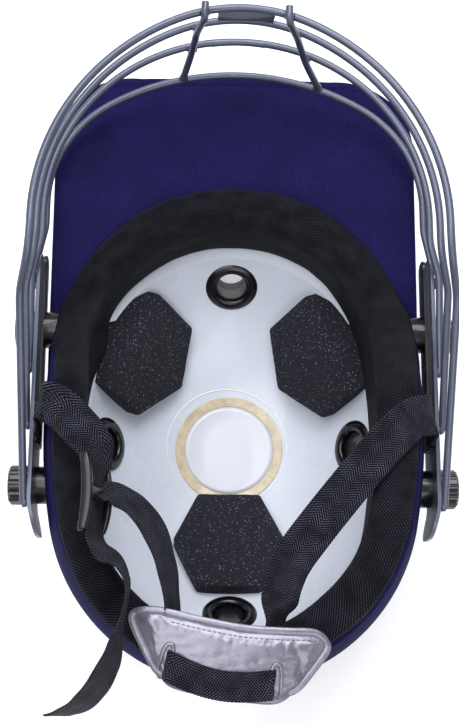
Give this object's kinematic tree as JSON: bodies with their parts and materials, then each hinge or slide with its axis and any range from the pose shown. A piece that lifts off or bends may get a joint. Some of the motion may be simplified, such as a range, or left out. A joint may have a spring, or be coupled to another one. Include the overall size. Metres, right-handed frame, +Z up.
{
  "type": "cricket helmet",
  "caption": "Batting helmet on its crown: cloth-covered shell and peak, padded inside, with a steel wire face guard and a chin strap with padded cup.",
  "frame": {"origin": "middle of the small flat at the crown, on the centre plane", "axes": "+Z up out of the opening, +Y to the front where the peak and the face guard are, +X to the right in the picture"},
  "size_m": [0.2396, 0.3689, 0.2161],
  "materials": {
    "navy_cloth": "matte woven",
    "navy_binding": "matte tape",
    "shell_plastic": "moulded",
    "white_liner": "glossy moulded",
    "ring_knit": "fine ribbed knit over foam",
    "grey_foam": "open cell foam",
    "label_film": "satin film",
    "bright_steel": "zinc plated",
    "black_plastic": "glossy moulded",
    "insert_brass": "turned",
    "black_webbing": "twill webbing",
    "mauve_leatherette": "silver sheen",
    "cup_lining_foam": "soft",
    "grey_painted_steel": "satin metallic paint"
  },
  "bodies": {
    "helmet": {"anchor_rivet_left": "bright_steel", "anchor_rivet_right": "bright_steel", "clamp_screws": "bright_steel", "crown_pad_left": "grey_foam", "crown_pad_rear": "grey_foam", "crown_pad_right": "grey_foam", "headband_ring": "ring_knit", "inner_liner": "white_liner", "liner_label": "label_film", "outer_shell": "shell_plastic", "peak_board": "shell_plastic", "peak_cover": "navy_cloth", "rim_binding": "navy_binding", "shell_cover": "navy_cloth", "side_spacers": "black_plastic", "strap_anchor_left": "black_webbing", "strap_anchor_right": "black_webbing", "strap_hanger_left": "black_plastic", "strap_hanger_right": "black_plastic", "vent_grommet_front": "black_plastic", "vent_grommet_left": "black_plastic", "vent_grommet_rear": "black_plastic", "vent_grommet_right": "black_plastic"},
    "face_guard": {"brow_bar": "grey_painted_steel", "chin_bar": "grey_painted_steel", "front_plate": "grey_painted_steel", "lower_bar": "grey_painted_steel", "middle_bar": "grey_painted_steel", "side_strip_left": "grey_painted_steel", "side_strip_right": "grey_painted_steel", "upright_left": "grey_painted_steel", "upright_right": "grey_painted_steel"},
    "chin_strap": {"strap_right": "black_webbing", "strap_left_upper": "black_webbing", "strap_left_lower": "black_webbing", "strap_tail": "black_webbing", "chin_band": "black_webbing", "chin_cup": "mauve_leatherette", "cup_lining": "cup_lining_foam", "cup_binding": "mauve_leatherette"},
    "slider": {"slider_buckle": "black_plastic"},
    "nut_left_front": {"thumb_nut_left_front": "black_plastic", "nut_insert_left_front": "insert_brass"},
    "nut_left_rear": {"thumb_nut_left_rear": "black_plastic", "nut_insert_left_rear": "insert_brass"},
    "nut_right_front": {"thumb_nut_right_front": "black_plastic", "nut_insert_right_front": "insert_brass"},
    "nut_right_rear": {"thumb_nut_right_rear": "black_plastic", "nut_insert_right_rear": "insert_brass"}
  },
  "joints": [
    {"name": "guard_slide", "type": "slide", "parent": "helmet", "child": "face_guard", "axis": [0, 0, 1], "range_m": [-0.003, 0.003]},
    {"name": "chin_strap_swing", "type": "hinge", "parent": "helmet", "child": "chin_strap", "pos_m": [0, -0.002, 0.15565], "axis": [-1, 0, 0], "range_deg": [0, 110]},
    {"name": "slider_slide", "type": "slide", "parent": "chin_strap", "child": "slider", "axis": [0, 1, 0], "range_m": [-0.003, 0.003]},
    {"name": "nut_turn_left_front", "type": "hinge", "parent": "helmet", "child": "nut_left_front", "pos_m": [-0.115, 0.052, 0.11905], "axis": [-1, 0, 0], "continuous": true},
    {"name": "nut_turn_left_rear", "type": "hinge", "parent": "helmet", "child": "nut_left_rear", "pos_m": [-0.115, -0.034, 0.11905], "axis": [-1, 0, 0], "continuous": true},
    {"name": "nut_turn_right_front", "type": "hinge", "parent": "helmet", "child": "nut_right_front", "pos_m": [0.115, 0.052, 0.11905], "axis": [1, 0, 0], "continuous": true},
    {"name": "nut_turn_right_rear", "type": "hinge", "parent": "helmet", "child": "nut_right_rear", "pos_m": [0.115, -0.034, 0.11905], "axis": [1, 0, 0], "continuous": true}
  ]
}
